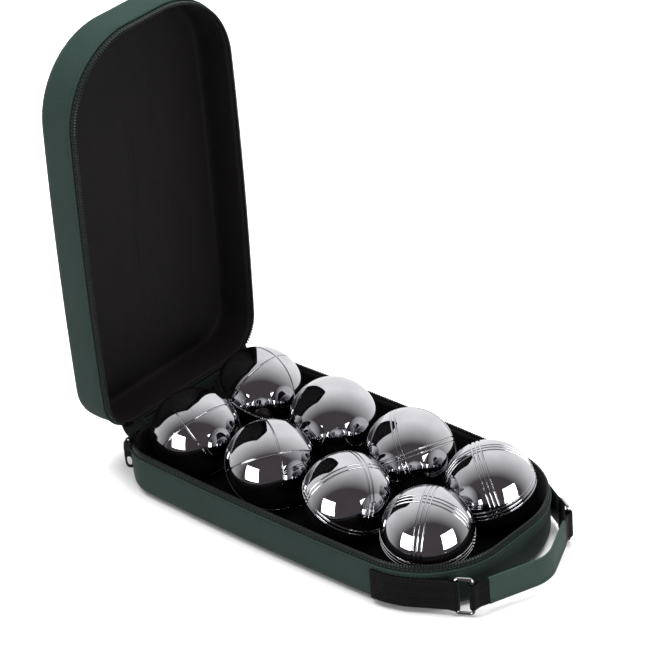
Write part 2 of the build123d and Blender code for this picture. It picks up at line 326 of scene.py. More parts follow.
@dataclass(frozen=True)
class TurnedWood:
    """A small ball turned from beech, with its growth rings showing, coloured near black as painted shade
    so that it reads as the shadow in the gap between the boules.
    """

    name: str = "beech_darkened_as_shade"
    ring_mm: float = 2.4

    def build(self) -> bpy.types.Material:
        """Make the material."""
        material, tree, shader = new_material(self.name)
        place = add_node(tree, "ShaderNodeTexCoord").outputs[Map.OBJECT.value]
        rings = add_node(
            tree,
            "ShaderNodeTexWave",
            {"Vector": place},
            wave_type="RINGS",
            rings_direction="X",
            in_Scale=tau / (20 * self.ring_mm * MM),
            in_Distortion=2.0,
            in_Detail=2.0,
        )
        # Near-black colours: painted shade, so the jack reads as the shadow between the boules; the rings
        # are the wood's own grain.
        ramp = two_tone(tree, rings.outputs["Fac"], "#0A0706", "#150E0A")
        raise_surface(tree, shader, rings.outputs["Fac"], 0.3, 0.05)
        tree.links.new(ramp.outputs["Color"], shader.inputs["Base Color"])
        shader.inputs["Roughness"].default_value = 0.45
        return material


@dataclass
class Finishes:
    """Every material of the set, made once."""

    nylon: bpy.types.Material = field(
        default_factory=lambda: WovenCloth("green_nylon_oxford", "#121D1A", "#2C413C", sheen=0.03).build()
    )
    strap: bpy.types.Material = field(
        default_factory=lambda: WovenCloth(
            "green_nylon_strap", "#1A2824", "#3A4E48", yarn_mm=1.1, weft_mm=1.1
        ).build()
    )
    lining: bpy.types.Material = field(
        default_factory=lambda: WovenCloth(
            "black_tricot_lining", "#090708", "#1A1617", yarn_mm=1.6, weft_mm=3.2, relief_mm=0.1,
            roughness=0.65, sheen=0.02, gloss=0.2, blotch_mm=45.0,
        ).build()
    )
    tape: bpy.types.Material = field(
        default_factory=lambda: WovenCloth(
            "zip_tape_polyester", "#070C0A", "#141D1A", yarn_mm=0.8, weft_mm=1.6
        ).build()
    )
    webbing: bpy.types.Material = field(
        default_factory=lambda: WovenCloth(
            "black_webbing_polypropylene", "#040404", "#121213", yarn_mm=2.2, weft_mm=1.2, relief_mm=0.4,
            roughness=0.55, sheen=0.02, gloss=0.15,
        ).build()
    )
    teeth: bpy.types.Material = field(
        default_factory=lambda: MattSheet(
            "moulded_nylon_teeth", "#0A0E0D", "#1A2220", 2.0, 0.4, 0.02
        ).build()
    )
    thread: bpy.types.Material = field(
        default_factory=lambda: MattSheet("polyester_thread", "#122019", "#2E463E", 0.5, 0.6, 0.05).build()
    )
    foam: bpy.types.Material = field(
        default_factory=lambda: MattSheet(
            "black_foam_flocked", "#020202", "#080707", 1.5, 0.95, 0.3, 0.08
        ).build()
    )
    board: bpy.types.Material = field(
        default_factory=lambda: MattSheet("grey_board", "#6A665F", "#8A857C", 1.2, 0.9).build()
    )
    chrome: bpy.types.Material = field(
        default_factory=lambda: PlatedMetal("chromed_steel", "#B4B4B9", "#DADADD", 0.02, 0.03).build()
    )
    wire: bpy.types.Material = field(
        default_factory=lambda: PlatedMetal(
            "nickel_plated_wire", "#B5B3B0", "#DAD8D5", 0.12, 0.1, smear_mm=6.0
        ).build()
    )
    slider: bpy.types.Material = field(
        default_factory=lambda: PlatedMetal(
            "black_nickel_zinc", "#3A3B3E", "#77797D", 0.22, 0.15, smear_mm=4.0
        ).build()
    )
    wood: bpy.types.Material = field(default_factory=lambda: TurnedWood().build())


def dress(piece: bpy.types.Object, material: bpy.types.Material) -> None:
    """Give a piece one material, in place of any it has."""
    if piece.material_slots:
        for slot in piece.material_slots:
            slot.material = material
    else:
        piece.data.materials.append(material)


# ---------------------------------------------------------------- mesh helpers


def deselect_all() -> None:
    """Leave nothing selected and no mode open."""
    if bpy.context.object and bpy.context.object.mode != "OBJECT":
        bpy.ops.object.mode_set(mode="OBJECT")
    bpy.ops.object.select_all(action="DESELECT")


def pick(piece: bpy.types.Object) -> None:
    """Make a piece the only one selected, and active."""
    deselect_all()
    piece.select_set(True)
    bpy.context.view_layer.objects.active = piece


def build_mesh(
    name: str, points: Sequence[Vector], faces: Sequence[tuple], uvs: Sequence[tuple]
) -> bpy.types.Object:
    """Make an object at the origin from points and faces, with its faces pointing outwards.

    Args:
        name: the object's name.
        points: its corners.
        faces: corner numbers of each face.
        uvs: a map place for each corner of each face, or nothing.

    Returns:
        The new object, smooth shaded.
    """
    mesh = bpy.data.meshes.new(name)
    mesh.from_pydata([tuple(p) for p in points], [], faces)
    if uvs:
        layer = mesh.uv_layers.new(name="cloth")
        for loop, uv in zip(layer.data, uvs):
            loop.uv = uv
    piece = bpy.data.objects.new(name, mesh)
    bpy.context.scene.collection.objects.link(piece)
    pick(piece)
    bpy.ops.object.mode_set(mode="EDIT")
    bpy.ops.mesh.select_all(action="SELECT")
    bpy.ops.mesh.normals_make_consistent(inside=False)
    bpy.ops.object.mode_set(mode="OBJECT")
    bpy.ops.object.shade_smooth_by_angle(angle=radians(42))
    return piece


def loft(
    name: str,
    rings: Sequence[Ring],
    place: Place,
    around: bool = True,
    closed: bool = False,
    caps: tuple[bool, bool] = (True, True),
) -> bpy.types.Object:
    """Skin a run of rings of equal length, with a UV map in metres.

    Args:
        name: the object's name.
        rings: the rings, each a list of points in order.
        place: where a point of the shut, flat case goes in the model.
        around: whether each ring is closed.
        closed: whether the last ring is joined to the first.
        caps: whether the first and last rings are filled.

    Returns:
        The new object.
    """
    count = len(rings[0])
    flat = [p for ring in rings for p in ring]
    along = [0.0]
    widest = max(rings, key=lambda r: sum((r[i] - r[i - 1]).length for i in range(count)))
    for i in range(count):
        along.append(along[-1] + (widest[(i + 1) % count] - widest[i]).length)
    across = [0.0]
    for i in range(len(rings)):
        a, b = rings[i], rings[(i + 1) % len(rings)]
        across.append(across[-1] + sum((q - p).length for p, q in zip(a, b)) / count)
    faces, uvs = [], []
    for r in range(len(rings) if closed else len(rings) - 1):
        s = (r + 1) % len(rings)
        for i in range(count if around else count - 1):
            j = (i + 1) % count
            face = (r * count + i, r * count + j, s * count + j, s * count + i)
            faces.append(face)
            slope = (flat[face[1]] - flat[face[0]]).cross(flat[face[3]] - flat[face[0]])
            if slope.length > 0 and abs(slope.z) > 0.8 * slope.length:
                uvs += [(flat[k].x, flat[k].y) for k in face]
            else:
                u, v = (along[i], along[i + 1]), (across[r], across[r + 1])
                uvs += [(u[0], v[0]), (u[1], v[0]), (u[1], v[1]), (u[0], v[1])]
    for wanted, start in zip(caps, (0, (len(rings) - 1) * count)):
        if wanted and not closed:
            faces.append(tuple(range(start, start + count)))
            uvs += [(p.x, p.y + p.z) for p in flat[start : start + count]]
    return build_mesh(name, [place(p) for p in flat], faces, uvs)


def sweep(
    name: str, path: Sequence[tuple[Vector, Vector]], section: Sequence[tuple[float, float]], place: Place
) -> bpy.types.Object:
    """Carry a closed section along an open path that lies level.

    Args:
        name: the object's name.
        path: points, each with the level direction that the section's first number goes along.
        section: (outwards, upwards) corners of the section.
        place: where a point of the shut, flat case goes in the model.

    Returns:
        The new object, closed at both ends.
    """
    rings = [[p + n * out + Vector((0, 0, up)) for out, up in section] for p, n in path]
    return loft(name, rings, place)


def with_normals(points: Sequence[Vector]) -> list[tuple[Vector, Vector]]:
    """Pair each point of a level path with the direction to the right of travel."""
    path = []
    for i, point in enumerate(points):
        way = points[min(i + 1, len(points) - 1)] - points[max(i - 1, 0)]
        way.normalize()
        path.append((point, Vector((way.y, -way.x, 0))))
    return path


def stitches(name: str, rows: Sequence[Sequence[tuple[Vector, Vector]]], place: Place) -> bpy.types.Object:
    """Lay rows of short raised stitches.

    Args:
        name: the object's name.
        rows: each row's points, each with the direction out of the cloth.
        place: where a point of the shut, flat case goes in the model.

    Returns:
        One object that holds every stitch.
    """
    pitch, half, wide, high = 3.6 * MM, 1.35 * MM, 0.32 * MM, 0.28 * MM
    points: list[Vector] = []
    faces: list[tuple] = []
    for row in rows:
        travelled, due = 0.0, pitch / 2
        for (a, out), (b, _) in zip(row, row[1:]):
            step = (b - a).length
            while step > 0 and due <= travelled + step:
                at = a.lerp(b, (due - travelled) / step)
                way = (b - a).normalized()
                side = out.cross(way).normalized()
                start = len(points)
                points.append(at - way * half - out * high)
                for s in (-0.55, 0.55):
                    for u, v in ((1, 0), (0, 1), (-1, 0), (0, -1)):
                        points.append(at + way * half * s + side * wide * u + out * high * v)
                points.append(at + way * half - out * high)
                for k in range(4):
                    m = (k + 1) % 4
                    faces.append((start, start + 1 + k, start + 1 + m))
                    faces.append((start + 1 + k, start + 5 + k, start + 5 + m, start + 1 + m))
                    faces.append((start + 5 + k, start + 9, start + 5 + m))
                due += pitch
            travelled += step
    return build_mesh(name, [place(p) for p in points], faces, [])


def thicken(piece: bpy.types.Object, thickness: float) -> None:
    """Give a cloth surface its thickness, half to each side."""
    pick(piece)
    modifier = piece.modifiers.new("thickness", "SOLIDIFY")
    modifier.thickness = thickness
    modifier.offset = 0.0
    bpy.ops.object.modifier_apply(modifier=modifier.name)


# ---------------------------------------------------------------- the case


@dataclass(frozen=True)
class CaseSize:
    """Sizes that the case's cloth is cut to."""

    hinge_corner: float = 32 * MM
    handle_corner: float = 70 * MM
    bow: float = 4 * MM
    edge_round: float = 9 * MM
    wall: float = 1.8 * MM
    shell_top: float = 34.6 * MM
    half_height: float = 40.6 * MM
    parting: float = 41.3 * MM
    hinge_beyond: float = 1.3 * MM
    floor_stack: float = 3.8 * MM
    liner: float = 0.6 * MM
    tape_grow: float = -1.3 * MM
    tape_half: float = 0.5 * MM
    zip_end: float = -163.6 * MM


class Outline:
    """The case's plan: a short hinge end, two bowed sides and a rounder handle end."""

    def __init__(self, size: CaseSize, step: float = 3.5 * MM) -> None:
        """Read the plan's length and width from the model and sample its edge.

        Args:
            size: the case's corner sizes.
            step: distance between samples.
        """
        low, high = (Vector(c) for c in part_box("base_shell"))
        self.size = size
        self.length = high.x - low.x
        self.width = high.y - low.y
        self.origin = Vector(((low.x + high.x) / 2, (low.y + high.y) / 2, low.z))
        self.bow_radius = ((self.length / 2) ** 2 + size.bow**2) / (2 * size.bow)
        self.bow_centre = self.bow_radius - self.width / 2
        near = self._near_half(step)
        far = [(Vector((p.x, -p.y, 0)), Vector((n.x, -n.y, 0))) for p, n in reversed(near[1:-1])]
        self.samples = near + far

    def corner(self, radius: float, sign: int) -> Vector:
        """Centre of a near corner, at the hinge end for -1 and the handle end for 1."""
        across = sign * (self.length / 2 - radius)
        return Vector((across, self.bow_centre - sqrt((self.bow_radius - radius) ** 2 - across**2), 0))

    def _near_half(self, step: float) -> list[tuple[Vector, Vector]]:
        """Points and outward directions from the middle of the hinge end to that of the handle end."""
        hinge = self.corner(self.size.hinge_corner, -1)
        handle = self.corner(self.size.handle_corner, 1)
        first = atan2(hinge.x, self.bow_centre - hinge.y)
        last = atan2(handle.x, self.bow_centre - handle.y)
        found: list[tuple[Vector, Vector]] = []

        def line(x: float, start: float, stop: float, out: float) -> None:
            count = max(2, round(abs(stop - start) / step))
            for i in range(count):
                found.append((Vector((x, start + (stop - start) * i / count, 0)), Vector((out, 0, 0))))

        def arc(centre: Vector, radius: float, start: float, stop: float) -> None:
            count = max(4, round(abs(stop - start) * radius / step))
            for i in range(count):
                turn = start + (stop - start) * i / count
                out = Vector((cos(turn), sin(turn), 0))
                found.append((centre + out * radius, out))

        line(-self.length / 2, 0, hinge.y, -1)
        arc(hinge, self.size.hinge_corner, pi, 1.5 * pi + first)
        arc(Vector((0, self.bow_centre, 0)), self.bow_radius, 1.5 * pi + first, 1.5 * pi + last)
        arc(handle, self.size.handle_corner, 1.5 * pi + last, tau)
        line(self.length / 2, handle.y, 0, 1)
        found.append((Vector((self.length / 2, 0, 0)), Vector((1, 0, 0))))
        return found

    def ring(
        self,
        grow: float,
        height: float,
        shrink: float = 0.0,
        swell: Callable[[Vector], float] | None = None,
        lift: Callable[[Vector], float] | None = None,
    ) -> Ring:
        """The plan's edge, moved outwards by grow at one height.

        Args:
            grow: distance outwards, negative for inwards.
            height: height of the ring.
            shrink: 0 at the edge, up to 1 where the ring has closed on the middle line.
            swell: a further distance outwards at each point.
            lift: a further height at each point.

        Returns:
            The ring's points.
        """
        ring = []
        half = (self.length - self.width) / 2
        for point, out in self.samples:
            at = point + out * grow
            if shrink:
                at = at.lerp(Vector((max(-half, min(half, at.x)), 0, 0)), shrink)
            at.z = height
            if swell:
                at += out * swell(at)
            if lift:
                at.z += lift(at)
            ring.append(at)
        return ring

    def zip_path(self) -> list[tuple[Vector, Vector]]:
        """The part of the edge that the zip's teeth follow."""
        kept = [i for i, (p, _) in enumerate(self.samples) if p.x > self.size.zip_end]
        return [self.samples[i] for i in range(kept[0], kept[-1] + 1)]


class CaseHalf:
    """One half of the soft case: padded shell, lining, piping, zip tape, teeth and seams."""

    def __init__(self, name: str, outline: Outline, finishes: Finishes, place: Place, folds: float) -> None:
        """Hold what the half is built from.

        Args:
            name: base or lid, which is also the body it moves with.
            outline: the plan.
            finishes: the materials.
            place: where a point of the shut, flat case goes in the model.
            folds: height of the lining's folds, in metres.
        """
        self.name = name
        self.outline = outline
        self.finishes = finishes
        self.place = place
        self.folds = folds
        self.size = outline.size
        self.seed = Vector((3.1, 7.7, 1.3)) if name == "base" else Vector((11.9, 2.3, 8.1))

    def build(self) -> None:
        """Build and dress every piece of the half."""
        for piece, material, slot, node in (
            (self.shell(), self.finishes.nylon, "green_nylon", f"{self.name}_shell"),
            (self.lining(), self.finishes.lining, "black_lining", f"{self.name}_liner"),
            (self.piping(), self.finishes.nylon, "green_piping", f"{self.name}_piping"),
            (self.tape(), self.finishes.tape, "zip_tape", f"zip_tape_{self.name}"),
            (self.teeth(), self.finishes.teeth, "zip_teeth", f"zip_teeth_{self.name}"),
            (self.seams(), self.finishes.thread, "green_piping", None),
        ):
            dress(piece, material)
            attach(piece, self.name)
            if node:
                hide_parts(node)
            LOG.info("%s: %d faces", piece.name, len(piece.data.polygons))

    def _swell(self, at: Vector) -> float:
        """How far the padded wall stands out, held flat by the webbing near the handle."""
        free = max(0.0, min(1.0, (0.075 - at.x) / 0.03))
        height = max(0.0, sin(pi * (at.z - 0.004) / (self.size.shell_top - 0.006)))
        wave = noise.noise(Vector((at.x * 28, at.y * 28, at.z * 50)) + self.seed)
        return free * height * 0.7 * MM * (1 + wave)

    def _sag(self, at: Vector) -> float:
        """How far the lining stands off its board."""
        ridge = noise.noise(Vector((at.x * 9, at.y * 55, 0)) + self.seed)
        broad = noise.noise(Vector((at.x * 5, at.y * 14, 2)) + self.seed)
        loose = self.folds * max(0.0, 0.45 + 0.8 * ridge + 0.7 * broad)
        room = 1.7 * MM
        return room * loose / (room + loose)

    def shell(self) -> bpy.types.Object:
        """The padded outside: nylon laminated to foam, with a rounded bottom edge."""
        size, ring = self.size, self.outline.ring
        shrinks = (0.97, 0.85, 0.7, 0.55, 0.4, 0.25, 0.12, 0.04)
        rings = [ring(-size.edge_round, 0, s) for s in shrinks]
        for i in range(9):
            turn = pi / 2 * i / 8
            grow, level = size.edge_round * (sin(turn) - 1), size.edge_round * (1 - cos(turn))
            rings.append(ring(grow, level, 0, self._swell))
        levels = [size.edge_round + (size.shell_top - size.edge_round) * i / 9 for i in range(1, 10)]
        rings += [ring(0, z, 0, self._swell) for z in levels]
        inner = size.edge_round - size.wall
        rings += [ring(-size.wall, size.shell_top), ring(-size.wall, size.edge_round)]
        for i in range(4, -1, -1):
            turn = pi / 2 * i / 4
            rings.append(ring(inner * (sin(turn) - 1) - size.wall, size.edge_round - inner * cos(turn)))
        rings += [ring(-size.edge_round, size.wall, s) for s in (0.3, 0.6, 0.97)]
        piece = loft(f"{self.name}_padded_shell", rings, self.place)
        return piece

    def lining(self) -> bpy.types.Object:
        """The knitted lining, loose over its board and turned up the wall."""
        size, ring = self.size, self.outline.ring
        grow = -size.wall - 0.7 * MM
        round_in = 5 * MM
        foot = size.floor_stack + round_in
        top = size.half_height - 2.2 * MM
        rings = [ring(grow, top)]
        rings += [ring(grow, foot + (top - foot) * (1 - i / 6)) for i in range(1, 7)]
        for i in range(1, 6):
            turn = pi / 2 * i / 5
            drop = (round_in - size.liner / 2) * sin(turn)
            rings.append(ring(grow - round_in * (1 - cos(turn)), foot - drop))
        level = size.floor_stack + size.liner / 2
        shrinks = [0.015 * i for i in range(1, 10)] + [0.15 + 0.82 * i / 26 for i in range(27)]
        for shrink in shrinks:
            hold = min(1.0, shrink / 0.12)
            rings.append(ring(grow - round_in, level, shrink, None, lambda at, h=hold: h * self._sag(at)))
        piece = loft(f"{self.name}_lining", rings, self.place, caps=(False, True))
        thicken(piece, size.liner)
        return piece

    def piping(self) -> bpy.types.Object:
        """A cord of folded nylon sewn into the seam under the zip."""
        rings = []
        for i in range(8):
            turn = tau * i / 8
            grow = 0.25 * MM + 1.0 * MM * cos(turn)
            rings.append(self.outline.ring(grow, self.size.shell_top + 0.95 * MM * sin(turn)))
        return loft(f"{self.name}_sewn_piping", rings, self.place, closed=True)

    def tape(self) -> bpy.types.Object:
        """The zip's woven tape, standing on the wall."""
        size, ring = self.size, self.outline.ring
        low, high = size.shell_top - 1 * MM, size.half_height - 0.7 * MM
        out, into = size.tape_grow + size.tape_half, size.tape_grow - size.tape_half
        swell = 0.35 * MM
        rings = [ring(out, low), ring(out + swell, (low + high) / 2), ring(out, high - 0.3 * MM)]
        rings += [ring(size.tape_grow, high), ring(into, high - 0.3 * MM), ring(into, low)]
        return loft(f"{self.name}_zip_tape", rings, self.place, closed=True)

    def teeth(self) -> bpy.types.Object:
        """The zip's moulded teeth, a row of short blocks with narrowed tips."""
        size = self.size
        pitch, points, faces = 2.3 * MM, [], []
        travelled, due = 0.0, pitch / 2 if self.name == "base" else pitch
        path = [(p + n * size.tape_grow, n) for p, n in self.outline.zip_path()]
        for (a, out), (b, _) in zip(path, path[1:]):
            step, way = (b - a).length, (b - a).normalized()
            while due <= travelled + step:
                at = a + way * (due - travelled)
                start = len(points)
                for height, half, deep in ((-1.9, 0.75, 1.15), (-0.7, 0.75, 1.15), (0.0, 0.45, 0.8)):
                    up = Vector((0, 0, size.half_height + height * MM))
                    for u, v in ((1, 1), (-1, 1), (-1, -1), (1, -1)):
                        points.append(at + up + way * half * MM * u + out * deep * MM * v)
                for k in range(4):
                    m = (k + 1) % 4
                    faces.append((start + k, start + m, start + 4 + m, start + 4 + k))
                    faces.append((start + 4 + k, start + 4 + m, start + 8 + m, start + 8 + k))
                faces += [tuple(range(start, start + 4)), tuple(range(start + 8, start + 12))]
                due += pitch
            travelled += step
        return build_mesh(f"{self.name}_zip_teeth", [self.place(p) for p in points], faces, [])

    def seams(self) -> bpy.types.Object:
        """Rows of thread: one below the piping and one along the tape."""
        size = self.size
        on_tape = size.tape_grow + size.tape_half + 0.3 * MM
        rows = []
        for grow, height, swell in (
            (0.12 * MM, size.shell_top - 3 * MM, self._swell),
            (on_tape, size.shell_top + 2.2 * MM, None),
        ):
            ring = self.outline.ring(grow, height, 0, swell)
            row = [(at, out) for (_, out), at in zip(self.outline.samples, ring)]
            rows.append(row + row[:1])
        return stitches(f"{self.name}_seam_thread", rows, self.place)


class HingeCloth:
    """The strip of dark tape, outside both halves, that the lid turns on."""

    half_width = 50 * MM
    reach = 12 * MM

    def __init__(self, outline: Outline, finishes: Finishes) -> None:
        """Hold the plan and the materials."""
        self.outline, self.finishes = outline, finishes

    def build(self) -> None:
        """Build the strip at the lid's open rest, bent between both bodies."""
        size = self.outline.size
        wall = -self.outline.length / 2 - 0.75 * MM
        turn_x, turn_z = -self.outline.length / 2 - size.hinge_beyond, size.parting
        profile = [(wall, size.parting - self.reach + self.reach * 0.8 * i / 8) for i in range(9)]
        profile += [(turn_x - 0.2 * MM, turn_z - 1.4 * MM), (turn_x - 0.5 * MM, turn_z - 0.5 * MM)]
        profile += [(turn_x - 1.4 * MM, turn_z + 0.2 * MM)]
        flat_x = turn_x - 2.4 * MM
        profile += [(flat_x - self.reach * 0.8 * i / 8, size.parting + 0.5 * MM) for i in range(9)]
        rings = []
        for x, z in profile:
            rings.append([Vector((x, -self.half_width + self.half_width * i / 12, z)) for i in range(25)])
        piece = self._skin("hinge_cloth", rings)
        thicken(piece, 0.7 * MM)
        dress(piece, self.finishes.tape)
        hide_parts("hinge_binding")
        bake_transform(piece)
        for side, sign in (("near", 1), ("far", -1)):
            self.gusset(side, sign)

    def _skin(self, name: str, rings: Sequence[Ring]) -> bpy.types.Object:
        """Skin open rows of points into one piece of cloth."""
        origin = self.outline.origin
        return loft(name, rings, lambda p: p + origin, around=False, caps=(False, False))

    def gusset(self, side: str, sign: int) -> None:
        """The zipped end of the tape, which fills the corner between the two halves.

        Args:
            side: near or far, for its name.
            sign: 1 for the near corner and -1 for the far one.
        """
        size = self.outline.size
        hinge = -self.outline.length / 2 - size.hinge_beyond
        rings = []
        for point, out in self.outline.samples:
            if not -0.5 * self.outline.width < point.y < -self.half_width + 4 * MM or point.x > -161.5 * MM:
                continue
            at = point + out * size.tape_grow
            low = Vector((at.x, sign * at.y, size.half_height - 1.5 * MM))
            drop = size.parting - low.z
            high = Vector((hinge - drop, sign * at.y, size.parting + at.x - hinge))
            ring = []
            for i in range(9):
                part = i / 8
                fold = Vector((1, 0, 1)) * 0.22 * (high - low).length * sin(pi * part)
                ring.append(low.lerp(high, part) - fold * 0.5)
            rings.append(ring)
        piece = self._skin(f"{side}_zip_gusset", rings)
        thicken(piece, 0.7 * MM)
        dress(piece, self.finishes.tape)
        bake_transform(piece)


class ZipPull:
    """The zip's dark pull, which hangs twisted on its loop."""

    def __init__(self, finishes: Finishes, heading: float) -> None:
        """Hold the material and the way its flat side faces, in radians."""
        self.finishes, self.heading = finishes, heading

    def build(self) -> None:
        """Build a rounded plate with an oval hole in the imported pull's place."""
        low, high = (Vector(c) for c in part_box("zip_pull"))
        middle = (low + high) / 2
        tall, wide, thick = (high.z - low.z) / 2, 4 * MM, 0.6 * MM
        face = Vector((cos(self.heading), sin(self.heading), 0))
        side = Vector((-face.y, face.x, 0))

        def round_box(u: float, v: float, depth: float, drop: float, power: float) -> Ring:
            ring = []
            for i in range(40):
                across, up = cos(tau * i / 40), sin(tau * i / 40)
                across = abs(across) ** power * (1 if across > 0 else -1)
                up = abs(up) ** power * (1 if up > 0 else -1)
                ring.append(middle + side * u * across + Vector((0, 0, v * up - drop)) + face * depth)
            return ring

        rings = []
        plate = (wide, tall, 0, 0.55, 1)
        hole = (wide * 0.55, tall * 0.3, tall * 0.5, 0.8, -1)
        for u, v, drop, power, order in (plate, hole):
            for bevel, depth in ((0.3 * MM, 1), (0.0, 0.5), (0.0, -0.5), (0.3 * MM, -1)):
                inset = -bevel * order
                rings.append(round_box(u + inset, v + inset, thick * depth * order, drop, power))
        piece = loft("zip_pull_plate", rings, lambda p: p, closed=True)
        dress(piece, self.finishes.slider)
        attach(piece, "pull")
        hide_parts("zip_pull")


# ---------------------------------------------------------------- the carrying handle


@dataclass(frozen=True)
class HandleSize:
    """Sizes of the webbing, rings and strap."""

    height: float = 18 * MM
    web_half: float = 13 * MM
    web_ply: float = 1.2 * MM
    web_sewn: float = 34 * MM
    web_free: float = 33 * MM
    web_angle: float = radians(29)
    sew_gap: float = 0.15 * MM
    wire: float = 2.8 * MM
    ring_reach: float = 13 * MM
    strap_half: float = 12 * MM
    strap_thickness: float = 2.6 * MM
    strap_end: float = 16 * MM
    strap_reach: float = 29 * MM
    bend_y: float = 4 * MM
    bend_radius: float = 30 * MM


class Handle:
    """Black webbing sewn to the case, looped on wire rings that carry a padded strap."""

    def __init__(self, outline: Outline, finishes: Finishes, size: HandleSize) -> None:
        """Hold the plan, materials and sizes, and find the rings' bars."""
        self.outline, self.finishes, self.size = outline, finishes, size
        self.way = Vector((cos(size.web_angle), sin(size.web_angle), 0))
        self.out = Vector((self.way.y, -self.way.x, 0))
        self.corner = outline.corner(outline.size.handle_corner, 1)
        self.lift = size.sew_gap + size.web_ply
        leaves = self.corner + self.out * (outline.size.handle_corner + self.lift)
        self.inner_bar = leaves + self.way * size.web_free
        self.outer_bar = self.inner_bar + self.way * size.ring_reach
        self.bend = Vector((outline.length / 2 + size.strap_reach, size.bend_y, 0))

    def build(self) -> None:
        """Build and dress the webbings, the strap's ends and the strap."""
        for side, sign in (("near", 1), ("far", -1)):
            place = self._placer(sign)
            web = self.webbing(f"{side}_webbing", place)
            self._finish(web, self.finishes.webbing, "base", f"webbing_{side}")
            thread = stitches(f"{side}_webbing_thread", self._box_rows(), place)
            self._finish(thread, self.finishes.webbing, "base", None)
            bar = Vector((self.outer_bar.x, sign * self.outer_bar.y, 0))
            heading = (self.bend - bar).normalized()
            gap = 0.35 * MM if side == "near" else 0.9 * MM
            end = self.loop_end(f"{side}_strap_loop", bar, heading, gap)
            self._finish(end, self.finishes.webbing, "strap", f"strap_end_{side}")
        strap, rows = self.strap()
        self._finish(strap, self.finishes.strap, "strap", "handle_strap")
        thread = stitches("strap_thread", rows, self._placer(1))
        self._finish(thread, self.finishes.thread, "strap", None)

    def _placer(self, sign: int) -> Place:
        """Put a point at the handle's height, on the near side for 1 and the far side for -1."""
        base = self.outline.origin + Vector((0, 0, self.size.height))
        return lambda p: Vector((p.x, sign * p.y, p.z)) + base

    def _finish(
        self,
        piece: bpy.types.Object,
        material: bpy.types.Material,
        body: str,
        node: str | None,
    ) -> None:
        """Dress a piece and fix it to its body."""
        dress(piece, material)
        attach(piece, body)
        if node:
            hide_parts(node)

    def _ribbed(self, half: float, thickness: float, ribs: int) -> list[tuple[float, float]]:
        """Section of a ribbed webbing, with rounded selvedges."""
        face = []
        for i in range(ribs * 4 + 1):
            up = -half + 2 * half * i / (ribs * 4)
            edge = min(1.0, (half - abs(up)) / (0.8 * MM) + 0.35)
            face.append((edge * (thickness / 2 - 0.12 * MM + 0.1 * MM * cos(tau * i / 4)), up))
        return face + [(-out, up) for out, up in reversed(face)]

    def _looped(
        self, bar: Vector, way: Vector, tail: float, radius: float, ply: float, grip: float
    ) -> list[Vector]:
        """A strip's middle line: along one side, round a bar and back on the other side."""
        out = Vector((way.y, -way.x, 0))
        line = [(-tail + (tail - grip) * i / 8, ply / 2) for i in range(9)]
        line += [(-grip * 0.75, ply / 2 + 0.1 * radius), (-grip * 0.5, 0.6 * radius)]
        for i in range(15):
            turn = radians(118) - radians(236) * i / 14
            line.append((radius * cos(turn), radius * sin(turn)))
        line += [(-grip * 0.5, -0.6 * radius), (-grip * 0.75, -ply / 2 - 0.1 * radius)]
        line += [(-grip - (tail - grip) * i / 8, -ply / 2) for i in range(9)]
        return [bar + way * s + out * n for s, n in line]

    def webbing(self, name: str, place: Place) -> bpy.types.Object:
        """Two plies sewn round the corner, leaving it straight to loop on the ring."""
        size = self.size
        radius = self.outline.size.handle_corner
        last = -pi / 2 + size.web_angle
        first = last - size.web_sewn / radius
        outer = radius + size.sew_gap + 1.5 * size.web_ply
        inner = radius + size.sew_gap + 0.5 * size.web_ply
        turns = [first + (last - first) * i / 14 for i in range(14)]
        sewn = [self.corner + Vector((cos(t), sin(t), 0)) * outer for t in turns]
        back = [self.corner + Vector((cos(t), sin(t), 0)) * inner for t in reversed(turns)]
        hold = size.wire / 2 + 0.35 * MM + size.web_ply / 2
        loop = self._looped(self.inner_bar, self.way, size.web_free, hold, size.web_ply, 7 * MM)
        section = self._ribbed(size.web_half, size.web_ply, 9)
        return sweep(name, with_normals(sewn + loop + back), section, place)

    def _box_rows(self) -> list[list[tuple[Vector, Vector]]]:
        """Rows of stitching that hold the webbing: two along it and four across it."""
        size = self.size
        radius = self.outline.size.handle_corner + size.sew_gap + 2 * size.web_ply + 0.05 * MM
        last = -pi / 2 + size.web_angle
        first = last - size.web_sewn / radius + 0.03
        rows = []
        for up in (-size.web_half + 2 * MM, size.web_half - 2 * MM):
            row = []
            for i in range(17):
                turn = first + (last - first) * i / 16
                out = Vector((cos(turn), sin(turn), 0))
                row.append((self.corner + out * radius + Vector((0, 0, up)), out))
            rows.append(row)
        for turn in (first, first + 0.16, last - 0.16, last):
            out = Vector((cos(turn), sin(turn), 0))
            rise = Vector((0, 0, size.web_half - 2 * MM))
            middle = self.corner + out * radius
            rows.append([(middle - rise, out), (middle + rise, out)])
        return rows

    def loop_end(self, name: str, bar: Vector, heading: Vector, gap: float) -> bpy.types.Object:
        """A black loop at a strap's end, folded over a ring's bar."""
        size = self.size
        radius = size.wire / 2 + gap + size.web_ply / 2
        line = self._looped(bar, -heading, size.strap_end + 2 * MM, radius, size.web_ply, 6 * MM)
        section = self._ribbed(size.strap_half - 0.8 * MM, size.web_ply, 8)
        return sweep(name, with_normals(line), section, self._placer(1))

